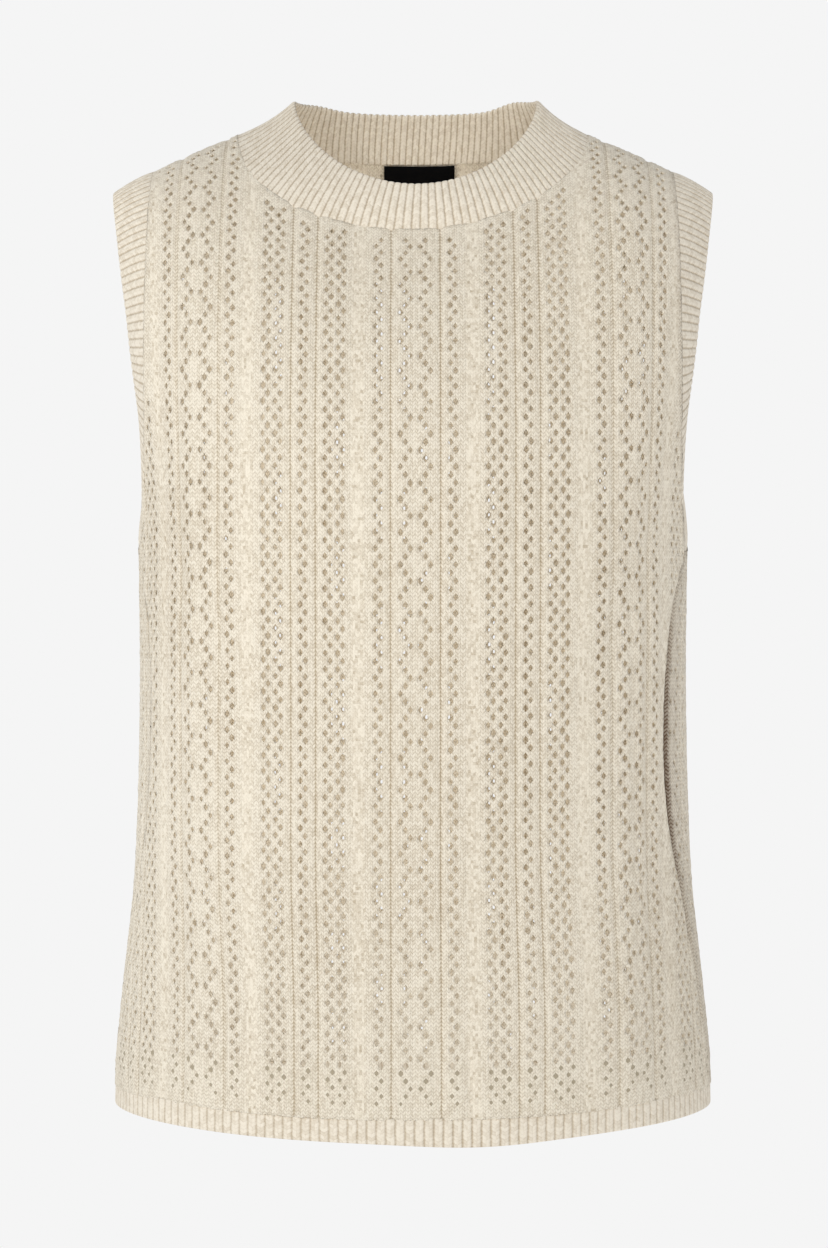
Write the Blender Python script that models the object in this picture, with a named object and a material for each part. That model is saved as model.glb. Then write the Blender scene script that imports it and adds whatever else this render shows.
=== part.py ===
"""A sleeveless knit top in the shape it has when worn: hollow, filled out, with nothing inside it.

Its pieces are a front and a back panel of lace knit, a ribbed neckband, two ribbed armhole bands, a
ribbed hem below each panel and a blank woven label. Sizes are in millimetres, and become metres when a mesh
is made. +Z is up and the front faces -Y. The origin is on the centre line at the height of the shoulders,
where the top is held. Left and right are as seen from the front.
"""

import math

import bmesh
import bpy
import numpy as np

COLLECTION = "sleeveless_knit_top"
MILLIMETRE = 0.001
CREAM = (0.80, 0.72, 0.59)
SHADED_CREAM = (0.76, 0.69, 0.56)
BLACK = (0.015, 0.015, 0.017)
KNIT_ROUGHNESS = 0.85
RIB_ROUGHNESS = 0.82
LABEL_ROUGHNESS = 0.6
SHARP_ANGLE = 50  # edges that turn more than this many degrees stay sharp

# Cloth and seams
PANEL_WALL = 1.8
BAND_WALL = 2.0
LABEL_WALL = 1.0
SEAM_GAP = 0.3
RIB_HEIGHT = 0.7
GROOVE_DEPTH = 0.6
GROOVE_HALF_WIDTH = 1.6

# Heights
HEM_SEAM = -520.0
HEM_EDGE = -532.0
HEM_RISE = 5.5  # how much higher the hem runs at the sides than at the centre
UNDERARM = -219.0
CHEST_TOP = -180.0  # above it the front and back lean together towards the shoulder line
NECK_SIDE = 13.4  # where the neck seam meets the shoulder seam

# Neck and shoulders
NECK_HALF_WIDTH = 97.0
NECK_FRONT_DROP = 61.0
NECK_FRONT_SHIFT = 2.8  # how far to the left the lowest part of the front neck seam lies
NECK_BACK_DROP = 7.5
SHOULDER_SLOPE = 0.442
SHOULDER_ROUND_X = 118.0  # from here outwards the shoulder is round across its seam
ARMHOLE_X = 144.5  # the armhole seam stands at this distance from the centre line
ARMHOLE_CURVE = 75.0  # the height above the underarm over which the armhole seam curves
STRAIGHT_X = 118.0  # columns of stitches run straight up the front and back as far out as this
FRONT_LEAN = (0.886, 0.95)  # how steeply each side leans in at the centre line, and how that grows outwards
BACK_LEAN = (0.394, 0.09)

# Bands
NECKBAND_RIBS = 116
NECK_EDGE_HALF_WIDTH = 68.0
NECK_EDGE_CENTRE_X = 1.7
NECK_EDGE_SIDE = 32.0
NECK_EDGE_FRONT_Y = -60.0
NECK_EDGE_BACK_Y = 49.0
NECK_EDGE_FRONT_DROP = 54.0
NECK_EDGE_CURVE = 1.2
NECKBAND_BULGE = 1.6
ARMHOLE_RIBS = 108
ARMHOLE_BAND_WIDTH = 26.0
ARMHOLE_BAND_BULGE = 1.8
ARMHOLE_BAND_DROOP = 0.2  # how far the band is turned down in its upper part
SEAM_SMOOTHING = 40  # rounds of averaging of the armhole line that gives the band its direction
RIM_SMOOTHING = 30  # rounds of averaging of the band's free edge
HEM_RIB_PITCH = 5.0

# How much of the armhole band's width points straight out to the side, by level from underarm to top.
ARMHOLE_BAND_TURNS = (
    (0.0, -0.14),
    (0.12, -0.04),
    (0.22, 0.1),
    (0.43, 0.29),
    (0.63, 0.48),
    (0.84, 0.76),
    (1.0, 0.97),
)

# Label
LABEL_CENTRE_X = 3.7
LABEL_WIDTH = 41.0
LABEL_GAP = 0.35
LABEL_ROWS_DOWN = 4.2  # its lower end, in rows of the back panel down from the neck seam
LABEL_TOP_INSET = 0.3  # its top, in the same rows

# Sections of the body at each height: half width, depth of the front and the back, and how square the oval
# is. Above the chest the half width is that of the oval that the panel would follow if no armhole cut it.
BODY_COLUMNS = ("height", "half_width", "front_depth", "back_depth", "squareness")
BODY = (
    (-532.0, 165.6, 119.0, 108.0, 0.0),
    (-499.0, 164.6, 118.0, 104.0, 0.01),
    (-474.0, 162.2, 116.0, 100.0, 0.02),
    (-439.0, 158.6, 113.0, 95.0, 0.04),
    (-403.0, 154.8, 110.5, 90.0, 0.05),
    (-353.0, 152.3, 109.0, 86.0, 0.06),
    (-318.0, 151.5, 109.5, 86.0, 0.07),
    (-275.0, 151.3, 112.0, 89.0, 0.08),
    (-246.0, 151.8, 115.0, 92.5, 0.09),
    (-219.0, 152.2, 117.5, 95.5, 0.10),
    (-167.0, 157.6, 119.0, 99.0, 0.12),
    (-125.0, 167.0, 118.5, 100.0, 0.12),
    (-78.0, 176.0, 118.0, 99.0, 0.12),
    (-50.0, 181.0, 118.0, 98.0, 0.12),
    (40.0, 194.0, 118.0, 98.0, 0.12),
)

# Where the side seams run: their angle from the centre front, in degrees, at each height.
SEAM_COLUMNS = ("height", "right", "left")
SIDE_SEAMS = (
    (-532.0, 85.0, 88.0),
    (-505.0, 82.0, 87.0),
    (-475.0, 78.0, 84.5),
    (-440.0, 74.5, 81.0),
    (-410.0, 71.0, 77.0),
    (-380.0, 66.5, 73.0),
    (-340.0, 63.5, 70.0),
    (-275.0, 65.0, 70.0),
    (-246.0, 68.0, 73.0),
    (-219.0, 78.0, 81.0),
)

# Half of the panel's columns, from the centre line outwards. A plain column stands at its x. A groove is a
# purl column between two bands of lace. Past the straight columns the outer ones share out what is left.
GROOVES = (13.6, 53.0, 66.2, 105.5)
PLAIN_COLUMNS = (0.0, 30.0, 44.0, 76.5, 85.5, 91.2, 94.5, 96.2, 96.85, NECK_HALF_WIDTH, STRAIGHT_X)
FRONT_OUTER_COLUMNS = 3
BACK_OUTER_COLUMNS = 5
LOWER_ROWS = 11
UPPER_ROWS = 16


def table_value(table, columns, name, height):
    """Reads a named column at any height, on a smooth curve through its rows."""
    rows = np.array(table)
    at = rows[:, 0]
    value = rows[:, columns.index(name)]
    slope = np.gradient(value, at)
    height = np.clip(height, at[0], at[-1])
    i = np.clip(np.searchsorted(at, height) - 1, 0, len(at) - 2)
    step = at[i + 1] - at[i]
    t = (height - at[i]) / step
    rise = value[i + 1] - value[i]
    return (
        value[i]
        + slope[i] * step * t * (1 - t) ** 2
        - slope[i + 1] * step * t**2 * (1 - t)
        + rise * t**2 * (3 - 2 * t)
    )


def hem_height(lowest, angle):
    """The height of a line round the hem that is lowest at the centre front and back."""
    return lowest + HEM_RISE * np.sin(np.radians(angle)) ** 2


def body(name, height):
    """One named measure of the body's section at a height."""
    return table_value(BODY, BODY_COLUMNS, name, height)


def unit(vectors):
    return vectors / np.linalg.norm(vectors, axis=-1, keepdims=True)


def shoulder_height(x):
    """The shoulder line: straight outside the neck, with a smooth arch across it that shapes the panels."""
    outside = NECK_SIDE - SHOULDER_SLOPE * (np.abs(x) - NECK_HALF_WIDTH)
    arch = SHOULDER_SLOPE / (2 * NECK_HALF_WIDTH)
    across = NECK_SIDE + arch * (NECK_HALF_WIDTH**2 - x**2)
    return np.where(np.abs(x) > NECK_HALF_WIDTH, outside, across)


def neck_height(x, drop):
    """The neck seam: half an ellipse in height, as low as drop at the centre line."""
    across = np.clip(x / NECK_HALF_WIDTH, -1, 1)
    if drop == NECK_FRONT_DROP:
        across = across + NECK_FRONT_SHIFT / NECK_HALF_WIDTH * (1 - across**6)
    return NECK_SIDE - drop * np.sqrt(np.clip(1 - across**2, 0, 1))


def top_height(x, drop):
    """The top edge of a panel: the neck seam, and the shoulder seam outside it."""
    return np.where(np.abs(x) < NECK_HALF_WIDTH, neck_height(x, drop), shoulder_height(x))


def lean(x, height, front):
    """How far the panel still stands out above the chest: 1 at the chest, 0 at the shoulder line."""
    rise = (height - CHEST_TOP) / (shoulder_height(x) - CHEST_TOP)
    rise = np.clip(rise, 0, 0.99999)
    across = np.clip(np.abs(x) / SHOULDER_ROUND_X, 0, 1) ** 2
    front_power = 1.0 / (FRONT_LEAN[0] + FRONT_LEAN[1] * across)
    power = np.where(front, front_power, BACK_LEAN[0] + BACK_LEAN[1] * across)
    return (1 - rise**2) ** power


def skin(angle, height):
    """The middle of the cloth. The angle runs from 0 at the centre front through 90 at the right side."""
    angle, height = np.broadcast_arrays(np.radians(angle), np.asarray(height, float))
    s, c = np.sin(angle), np.cos(angle)
    square = body("squareness", height)
    depth = np.where(c > 0, body("front_depth", height), body("back_depth", height))
    x = body("half_width", height) * s * (1 + square * c**2)
    y = -depth * c * (1 + square * s**2) * lean(x, height, c > 0)
    return np.stack([x, y, height], axis=-1)


def skin_normal(angle, height):
    """The outward normal, from two short steps along the skin."""
    turn, climb = 0.05, 0.05
    height = np.minimum(height, top_height(skin(angle, height)[..., 0], 0.0) - 2 * climb)
    around = skin(angle + turn, height) - skin(angle - turn, height)
    up = skin(angle, height + climb) - skin(angle, height - climb)
    return unit(np.cross(around, up))


def angle_at(x, height):
    """The angle from the centre line at which the skin reaches a distance x, by repeated correction."""
    width, square = body("half_width", height), body("squareness", height)
    sine = np.clip(x / width, 0, 1)
    for _ in range(12):
        sine = np.clip(x / width / (1 + square * (1 - sine**2)), 0, 1)
    return np.degrees(np.arcsin(sine))


def edge_angle(height, side, back):
    """The angle of a panel's side edge: the side seam, then the curve of the armhole above the underarm."""
    column = "right" if side > 0 else "left"
    seam = table_value(SIDE_SEAMS, SEAM_COLUMNS, column, np.minimum(height, UNDERARM))
    corner = table_value(SIDE_SEAMS, SEAM_COLUMNS, column, UNDERARM)
    straight = angle_at(ARMHOLE_X, height)
    if back:
        seam, corner = 180 - seam, 180 - corner
    fall = np.clip((UNDERARM + ARMHOLE_CURVE - height) / ARMHOLE_CURVE, 0, 1)
    armhole = straight + (corner - straight) * (1 - np.sqrt(1 - fall**2))
    return np.where(height < UNDERARM, seam, armhole)


def panel_columns(outer):
    """The columns of one half: x, share of what is left past the straight ones, and groove or not."""
    columns = [(x, 0.0, False) for x in PLAIN_COLUMNS]
    for x in GROOVES:
        columns += [(x - GROOVE_HALF_WIDTH, 0.0, False), (x, 0.0, True), (x + GROOVE_HALF_WIDTH, 0.0, False)]
    columns += [(STRAIGHT_X, (i + 1) / outer, False) for i in range(outer)]
    return sorted(columns, key=lambda column: column[0] + column[1])


def column_angle(x, share, height, side, back):
    """The angle of a column at a height: at its own x, or at its share of the way to the side edge."""
    straight = angle_at(x, height)
    return straight + share * (edge_angle(height, side, back) - straight)


def column_points(x, share, side, back):
    """One column of the panel, hem to top, with rows closer together at the underarm and the top."""
    drop = NECK_BACK_DROP if back else NECK_FRONT_DROP
    top = NECK_SIDE
    for _ in range(30):
        reach = skin(column_angle(x, share, top, side, back), top)[0] if share else x
        top = float(top_height(np.array(side * reach), drop))
    hem = hem_height(HEM_SEAM, column_angle(x, share, HEM_SEAM, side, back))
    lower = hem + (UNDERARM - hem) * np.arange(LOWER_ROWS) / LOWER_ROWS
    rise = np.arange(UPPER_ROWS + 1) / UPPER_ROWS
    near_edge = (x / ARMHOLE_X) ** 2 * (1 - share) + share
    middle_rise = 1 - (1 - rise) ** 1.6
    edge_rise = rise**2 * (3 - 2 * rise)
    rise = middle_rise * (1 - near_edge) + edge_rise * near_edge
    height = np.concatenate([lower, UNDERARM + (top - UNDERARM) * rise])
    angle = side * column_angle(x, share, height, side, back)
    return (180 - angle if back else angle), height


def panel_grid(back):
    """Angles, heights and groove flags of a whole panel, left edge to right edge."""
    half = panel_columns(BACK_OUTER_COLUMNS if back else FRONT_OUTER_COLUMNS)
    angles, heights, grooves = [], [], []
    for side in (-1, 1):
        run = half[:0:-1] if side < 0 else half
        for x, share, groove in run:
            angle, height = column_points(x, share, side, back)
            angles.append(angle)
            heights.append(height)
            grooves.append(groove)
    return np.array(angles).T, np.array(heights).T, np.array(grooves)


def shoulder_normal(x):
    """The normal on top of the shoulder seam, square to its slope."""
    tilt = math.atan(SHOULDER_SLOPE)
    side = np.sign(x)
    return np.stack([side * math.sin(tilt), np.zeros_like(x), np.full_like(x, math.cos(tilt))], axis=-1)


def off_edge(points, normals, towards):
    """The direction in the cloth that leads off an edge, square to its line, on the side of towards."""
    along = unit(np.gradient(points, axis=0))
    across = unit(np.cross(along, normals))
    return across * np.sign(np.sum(across * towards, axis=-1, keepdims=True))


class Panel:
    """A panel's skin, with its normals and with its four edges, before any gap is taken off."""

    def __init__(self, back):
        self.back = back
        self.angles, self.heights, self.grooves = panel_grid(back)
        self.points = skin(self.angles, self.heights)
        self.normals = skin_normal(self.angles, self.heights)
        top_x = self.points[-1, :, 0]
        self.shoulder = np.abs(top_x) >= NECK_HALF_WIDTH - 0.01
        self.points[-1, self.shoulder, 1] = 0.0
        self.normals[-1, self.shoulder] = shoulder_normal(top_x[self.shoulder])
        neck = np.flatnonzero(~self.shoulder)
        self.neck = np.arange(neck[0] - 1, neck[-1] + 2)
        self.underarm = LOWER_ROWS
        self.trimmed = self.without_seam_gap()
        self.inner = self.trimmed - self.normals * PANEL_WALL / 2
        after_groove = np.concatenate([[False], self.grooves[:-1]])
        self.kept = np.flatnonzero(~self.grooves & ~after_groove).tolist()

    def edges(self):
        """Each edge as its row and column numbers and the numbers of the points just inside it."""
        rows, columns = self.heights.shape
        every_row, every_column = np.arange(rows), np.arange(columns)
        last = rows - 1
        for column, inner in ((0, 1), (columns - 1, columns - 2)):
            side = np.full(rows, column)
            for part in (every_row[: self.underarm + 1], every_row[self.underarm :]):
                yield part, side[part], part, np.full(len(part), inner)
        yield np.zeros(columns, int), every_column, np.ones(columns, int), every_column
        for part in (every_column[: self.neck[0] + 1], self.neck, every_column[self.neck[-1] :]):
            yield np.full(len(part), last), part, np.full(len(part), last - 1), part

    def without_seam_gap(self):
        """The skin with half a seam gap taken off along every edge."""
        points = self.points.copy()
        for row, column, inner_row, inner_column in self.edges():
            edge = self.points[row, column]
            away = edge - self.points[inner_row, inner_column]
            points[row, column] -= off_edge(edge, self.normals[row, column], away) * SEAM_GAP / 2
        return points

    def seam(self, row, column):
        return self.points[row, column], self.normals[row, column]


def material(name, colour, roughness):
    made = bpy.data.materials.new(name)
    made.use_nodes = True
    shader = made.node_tree.nodes["Principled BSDF"]
    shader.inputs["Base Color"].default_value = (*colour, 1.0)
    shader.inputs["Roughness"].default_value = roughness
    shader.inputs["Metallic"].default_value = 0.0
    return made


def add_object(name, vertices, faces, finish):
    """Makes one closed body from millimetre points, with its faces turned outwards."""
    mesh = bpy.data.meshes.new(name)
    mesh.from_pydata([tuple(float(v) * MILLIMETRE for v in p) for p in vertices], [], faces)
    shape = bmesh.new()
    shape.from_mesh(mesh)
    bmesh.ops.recalc_face_normals(shape, faces=shape.faces)
    bmesh.ops.triangulate(shape, faces=shape.faces)
    shape.to_mesh(mesh)
    shape.free()
    mesh.materials.append(finish)
    mesh.shade_smooth()
    mesh.set_sharp_from_angle(angle=math.radians(SHARP_ANGLE))
    made = bpy.data.objects.new(name, mesh)
    bpy.data.collections[COLLECTION].objects.link(made)
    return made


def wall(name, outer, inner, kept, closed, finish):
    """Lofts a wall between an outer grid and an inner one that has only the kept columns of the outer."""
    rows, columns = outer.shape[:2]
    vertices = np.concatenate([outer.reshape(-1, 3), inner.reshape(-1, 3)])
    start, few = rows * columns, len(kept)

    def out(row, column):
        return row * columns + column % columns

    def inside(row, number):
        return start + row * few + number % few

    faces = []
    for row in range(rows - 1):
        above = row + 1
        for c in range(columns if closed else columns - 1):
            faces.append((out(row, c), out(row, c + 1), out(above, c + 1), out(above, c)))
        for n in range(few if closed else few - 1):
            faces.append((inside(row, n), inside(above, n), inside(above, n + 1), inside(row, n + 1)))
        if not closed:
            c, n = columns - 1, few - 1
            faces.append((out(row, 0), out(above, 0), inside(above, 0), inside(row, 0)))
            faces.append((out(row, c), inside(row, n), inside(above, n), out(above, c)))
    top = rows - 1
    for n in range(few if closed else few - 1):
        first = kept[n]
        last = kept[n + 1] if n + 1 < few else columns
        span = range(first, last + 1)
        faces.append((*[out(0, c) for c in span], inside(0, n + 1), inside(0, n)))
        faces.append((*[out(top, c) for c in reversed(span)], inside(top, n), inside(top, n + 1)))
    return add_object(name, vertices, faces, finish)


def build_panel(name, panel, finish):
    """A lace panel: its outer face is let in at the purl grooves, and its inner face is plain."""
    relief = np.where(panel.grooves, -GROOVE_DEPTH, 0.0)[None, :, None]
    outer = panel.trimmed + panel.normals * (PANEL_WALL / 2 + relief)
    wall(name, outer, panel.inner[:, panel.kept], panel.kept, False, finish)


def along_line(points, count, closed):
    """Where count even steps fall on a line of points, as a function that reads any values given there."""
    line = np.concatenate([points, points[:1]]) if closed else points
    travelled = np.concatenate([[0], np.cumsum(np.linalg.norm(np.diff(line, axis=0), axis=1))])
    wanted = np.linspace(0, travelled[-1], count + 1)[: count if closed else count + 1]

    def read(values):
        values = np.concatenate([values, values[:1]]) if closed else values
        flat = values.reshape(len(values), -1)
        read_out = [np.interp(wanted, travelled, column) for column in flat.T]
        return np.stack(read_out, axis=-1).reshape((len(wanted),) + values.shape[1:])

    return read, travelled[-1]


def across_normal(line, away, like, closed):
    """Normals of a band at a line of points, square to the line and to away, turned the way of like."""
    if closed:
        along = np.roll(line, -1, axis=0) - np.roll(line, 1, axis=0)
    else:
        along = np.gradient(line, axis=0)
    normal = unit(np.cross(along, away))
    return normal * np.sign(np.sum(normal * like, axis=-1, keepdims=True))


def build_band(name, lines, normals, closed, finish):
    """A ribbed band through lines of points: every other outer point stands up as a rib."""
    columns = len(lines[0])
    rib = np.where(np.arange(columns) % 2 == 1, RIB_HEIGHT, 0.0)[:, None]
    kept = list(range(0, columns, 4))
    outer = np.stack([p + n * (BAND_WALL / 2 + rib) for p, n in zip(lines, normals)])
    inner = np.stack([p[kept] - n[kept] * BAND_WALL / 2 for p, n in zip(lines, normals)])
    wall(name, outer, inner, kept, closed, finish)


def off_loop(points, normals, centre):
    """off_edge for a closed loop of points, towards its centre."""
    along = unit(np.roll(points, -1, axis=0) - np.roll(points, 1, axis=0))
    across = unit(np.cross(along, normals))
    return across * np.sign(np.sum(across * (centre - points), axis=-1, keepdims=True))


def build_neckband(front, back, finish):
    """A crew neckband that stands up from the neck seam to a level rim, lower in front."""
    last = front.heights.shape[0] - 1
    front_line = front.seam(last, front.neck)
    back_line = back.seam(last, back.neck[-2:0:-1])
    seam = np.concatenate([front_line[0], back_line[0]])
    normal = np.concatenate([front_line[1], back_line[1]])
    read, _ = along_line(seam, NECKBAND_RIBS * 2, True)
    points, normals = read(seam), unit(read(normal))
    start = points + off_loop(points, normals, np.array([0.0, 0.0, 90.0])) * SEAM_GAP / 2
    turn = np.clip(points[:, 0] / NECK_HALF_WIDTH, -1, 1)
    ahead = np.sqrt(1 - turn**2)
    in_front = points[:, 1] < 0
    rim = np.stack(
        [
            NECK_EDGE_CENTRE_X + NECK_EDGE_HALF_WIDTH * turn,
            np.where(in_front, NECK_EDGE_FRONT_Y, NECK_EDGE_BACK_Y) * ahead,
            NECK_EDGE_SIDE - np.where(in_front, NECK_EDGE_FRONT_DROP, 0.0) * ahead**NECK_EDGE_CURVE,
        ],
        axis=-1,
    )
    rim_normals = across_normal(rim, rim - start, normals, True)
    middle_normals = unit(rim_normals + normals)
    middle = (start + rim) / 2 + middle_normals * NECKBAND_BULGE
    build_band("neckband", (start, middle, rim), (normals, middle_normals, rim_normals), True, finish)


def build_armhole_band(side, front, back, finish):
    """A band round the armhole that stands off the seam outwards and in over the hole."""
    column = 0 if side < 0 else -1
    rows = np.arange(front.underarm, front.heights.shape[0])
    front_line = front.seam(rows, column)
    back_line = back.seam(rows[-2:0:-1], column)
    seam = np.concatenate([front_line[0], back_line[0]])
    normal = np.concatenate([front_line[1], back_line[1]])
    read, _ = along_line(seam, ARMHOLE_RIBS * 2, True)
    points, normals = read(seam), unit(read(normal))
    centre = np.array([side * ARMHOLE_X, 0.0, (UNDERARM + NECK_SIDE) / 2])
    start = points + off_loop(points, normals, centre) * SEAM_GAP / 2

    smooth_line = points.copy()
    for _ in range(SEAM_SMOOTHING):
        smooth_line = (np.roll(smooth_line, 1, axis=0) + smooth_line + np.roll(smooth_line, -1, axis=0)) / 3
    flat = smooth_line * np.array([0.0, 1.0, 1.0])
    along = unit(np.roll(flat, -1, axis=0) - np.roll(flat, 1, axis=0))
    inwards = np.stack([np.zeros(len(flat)), -along[:, 2], along[:, 1]], axis=-1)
    inwards *= np.sign(np.sum(inwards * (centre - flat), axis=-1, keepdims=True))
    level = np.clip((points[:, 2] - UNDERARM) / (-UNDERARM), 0, 1)[:, None]
    outwards = np.interp(level, *np.array(ARMHOLE_BAND_TURNS).T)
    heading = inwards * np.sqrt(1 - outwards**2) + np.array([side, 0.0, 0.0]) * outwards
    upper_part = np.clip(level * 2 - 0.3, 0, 1) * np.clip((1.1 - level) * 4, 0, 1)
    heading += np.array([0.0, 0.0, -ARMHOLE_BAND_DROOP]) * upper_part
    edge = start + unit(heading) * ARMHOLE_BAND_WIDTH
    soft = np.clip(1.15 - level * 3, 0.1, 1)
    for _ in range(RIM_SMOOTHING):
        edge += (np.roll(edge, 1, axis=0) + np.roll(edge, -1, axis=0) - 2 * edge) / 3 * soft
    edge_normals = across_normal(edge, edge - start, normals, True)
    middle_normals = unit(edge_normals + normals)
    middle = (start + edge) / 2 + middle_normals * ARMHOLE_BAND_BULGE
    name = "armhole_band_left" if side < 0 else "armhole_band_right"
    build_band(name, (start, middle, edge), (normals, middle_normals, edge_normals), True, finish)


def build_hem(name, panel, finish):
    """The ribbed strip below a panel, from the hem seam down to the bottom edge."""
    seam, normal = panel.seam(0, np.arange(panel.heights.shape[1]))
    _, length = along_line(seam, 1, False)
    ribs = 2 * round(length / HEM_RIB_PITCH / 2)
    read, _ = along_line(seam, ribs * 2, False)
    points, normals, angles = read(seam), unit(read(normal)), read(panel.angles[0])
    start = points - np.array([0.0, 0.0, SEAM_GAP / 2])
    edge_heights = hem_height(HEM_EDGE, angles)
    edge = skin(angles, edge_heights)
    for line in (start, edge):
        line[0] += unit(line[1] - line[0]) * SEAM_GAP / 2
        line[-1] += unit(line[-2] - line[-1]) * SEAM_GAP / 2
    build_band(name, (start, edge), (normals, skin_normal(angles, edge_heights)), False, finish)


def build_label(panel, finish):
    """A plain strip sewn into the neck seam: points of the back panel's inner face, moved inwards."""
    inner, normals = panel.inner[:, panel.kept], panel.normals[:, panel.kept]
    last = len(inner) - 1
    left, right = LABEL_CENTRE_X - LABEL_WIDTH / 2, LABEL_CENTRE_X + LABEL_WIDTH / 2
    own = inner[last, :, 0]
    x = np.concatenate([[left], own[(own > left) & (own < right)], [right]])

    def at_row(values, row):
        low = int(row)
        mixed = values[low] * (1 - (row - low)) + values[min(low + 1, last)] * (row - low)
        return np.stack([np.interp(x, own, mixed[:, k]) for k in range(3)], axis=-1)

    rows = [last - LABEL_ROWS_DOWN, *range(last - int(LABEL_ROWS_DOWN), last), last - LABEL_TOP_INSET]
    points = np.stack([at_row(inner, row) for row in rows])
    inwards = -unit(np.stack([at_row(normals, row) for row in rows]))
    outer = points + inwards * LABEL_GAP
    wall("neck_label", outer, outer + inwards * LABEL_WALL, list(range(len(x))), False, finish)


def main():
    for old in list(bpy.data.objects):
        bpy.data.objects.remove(old, do_unlink=True)
    group = bpy.data.collections.new(COLLECTION)
    bpy.context.scene.collection.children.link(group)

    front, back = Panel(back=False), Panel(back=True)
    build_panel("front_panel", front, material("lace_knit_front", CREAM, KNIT_ROUGHNESS))
    build_panel("back_panel", back, material("lace_knit_back", CREAM, KNIT_ROUGHNESS))
    build_neckband(front, back, material("neck_rib", CREAM, RIB_ROUGHNESS))
    build_armhole_band(-1, front, back, material("armhole_rib_left", SHADED_CREAM, RIB_ROUGHNESS))
    build_armhole_band(1, front, back, material("armhole_rib_right", SHADED_CREAM, RIB_ROUGHNESS))
    build_hem("hem_band_front", front, material("hem_rib_front", SHADED_CREAM, RIB_ROUGHNESS))
    build_hem("hem_band_back", back, material("hem_rib_back", SHADED_CREAM, RIB_ROUGHNESS))
    build_label(back, material("woven_label", BLACK, LABEL_ROUGHNESS))


main()
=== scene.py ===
import math
from functools import partial

import bpy
import numpy as np
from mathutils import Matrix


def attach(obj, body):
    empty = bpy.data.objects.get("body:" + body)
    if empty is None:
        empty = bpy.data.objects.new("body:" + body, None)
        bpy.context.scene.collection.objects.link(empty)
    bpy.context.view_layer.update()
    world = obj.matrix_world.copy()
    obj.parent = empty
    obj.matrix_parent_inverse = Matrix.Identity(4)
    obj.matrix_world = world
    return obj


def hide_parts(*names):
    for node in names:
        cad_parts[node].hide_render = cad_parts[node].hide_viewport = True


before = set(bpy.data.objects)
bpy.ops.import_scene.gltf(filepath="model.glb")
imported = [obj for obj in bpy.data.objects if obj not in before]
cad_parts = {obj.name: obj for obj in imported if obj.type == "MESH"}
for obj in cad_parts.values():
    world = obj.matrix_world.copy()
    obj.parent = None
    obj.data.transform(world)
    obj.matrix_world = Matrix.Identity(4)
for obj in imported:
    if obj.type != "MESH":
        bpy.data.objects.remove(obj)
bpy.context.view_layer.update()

# Camera: level with the middle of the top and straight in front of it, with a long lens, as for a picture
# in a shop.
camera_data = bpy.data.cameras.new("camera")
camera_data.sensor_width = 36.0
camera_data.lens = 92.7
camera = bpy.data.objects.new("camera", camera_data)
camera.location = (0.0006, -1.8, -0.26)
camera.rotation_euler = (math.radians(90), 0.0, 0.0)
bpy.context.scene.collection.objects.link(camera)
bpy.context.scene.camera = camera
bpy.context.scene.view_settings.view_transform = "Standard"


# Front panel: lace knit in cream cotton yarn, one wale after another of plain stitches, with eyelets that
# run in zigzags and lozenges, strips of moss stitch, and single purl wales that sink into narrow grooves.
# It is cut to the armholes and the neck, and filled out as when worn. Sizes here are in millimetres.
MILLIMETRE = 0.001
WALE = 2.63
COURSE = 2.15
LACE_CENTRE = 1.4
HEM_SEAM = -520.0
HEM_RISE = 5.5
UNDERARM = -219.0
CHEST_TOP = -180.0
NECK_SIDE = 13.4
NECK_HALF_WIDTH = 97.0
NECK_FRONT_DROP = 61.0
NECK_FRONT_SHIFT = 2.8
NECK_BACK_DROP = 7.5
SHOULDER_SLOPE = 0.442
SHOULDER_ROUND_X = 118.0
ARMHOLE_X = 144.5
STRAIGHT_X = 118.0
ARMHOLE_CURVE = 75.0
HIGHEST_RISE = 0.99999
FRONT_LEAN = (0.886, 0.95)
BACK_LEAN = (0.394, 0.09)
WALE_LEAN = 3.6
WALE_LEAN_TOP = -370.0
WALE_LEAN_SPAN = 110.0
WALE_LEAN_X = 110.0
DEPTH_CHANGE = (82.0, 98.0)
CLIMB_REACH = 140.0
CLIMB_LENGTH = 640.0
CLIMB_SPARE = 6.0

BODY_COLUMNS = ("height", "half_width", "front_depth", "back_depth", "squareness")
BODY = (
    (-532, 165.6, 119, 108, 0),
    (-499, 164.6, 118, 104, 0.01),
    (-474, 162.2, 116, 100, 0.02),
    (-439, 158.6, 113, 95, 0.04),
    (-403, 154.8, 110.5, 90, 0.05),
    (-353, 152.3, 109, 86, 0.06),
    (-318, 151.5, 109.5, 86, 0.07),
    (-275, 151.3, 112, 89, 0.08),
    (-246, 151.8, 115, 92.5, 0.09),
    (-219, 152.2, 117.5, 95.5, 0.10),
    (-167, 157.6, 119, 99, 0.12),
    (-125, 167, 118.5, 100, 0.12),
    (-78, 176, 118, 99, 0.12),
    (-50, 181, 118, 98, 0.12),
    (40, 194, 118, 98, 0.12),
)
SEAM_COLUMNS = ("height", "right", "left")
SIDE_SEAMS = (
    (-532, 85, 88),
    (-505, 82, 87),
    (-475, 78, 84.5),
    (-440, 74.5, 81),
    (-410, 71, 77),
    (-380, 66.5, 73),
    (-340, 63.5, 70),
    (-275, 65, 70),
    (-246, 68, 73),
    (-219, 78, 81),
)


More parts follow.
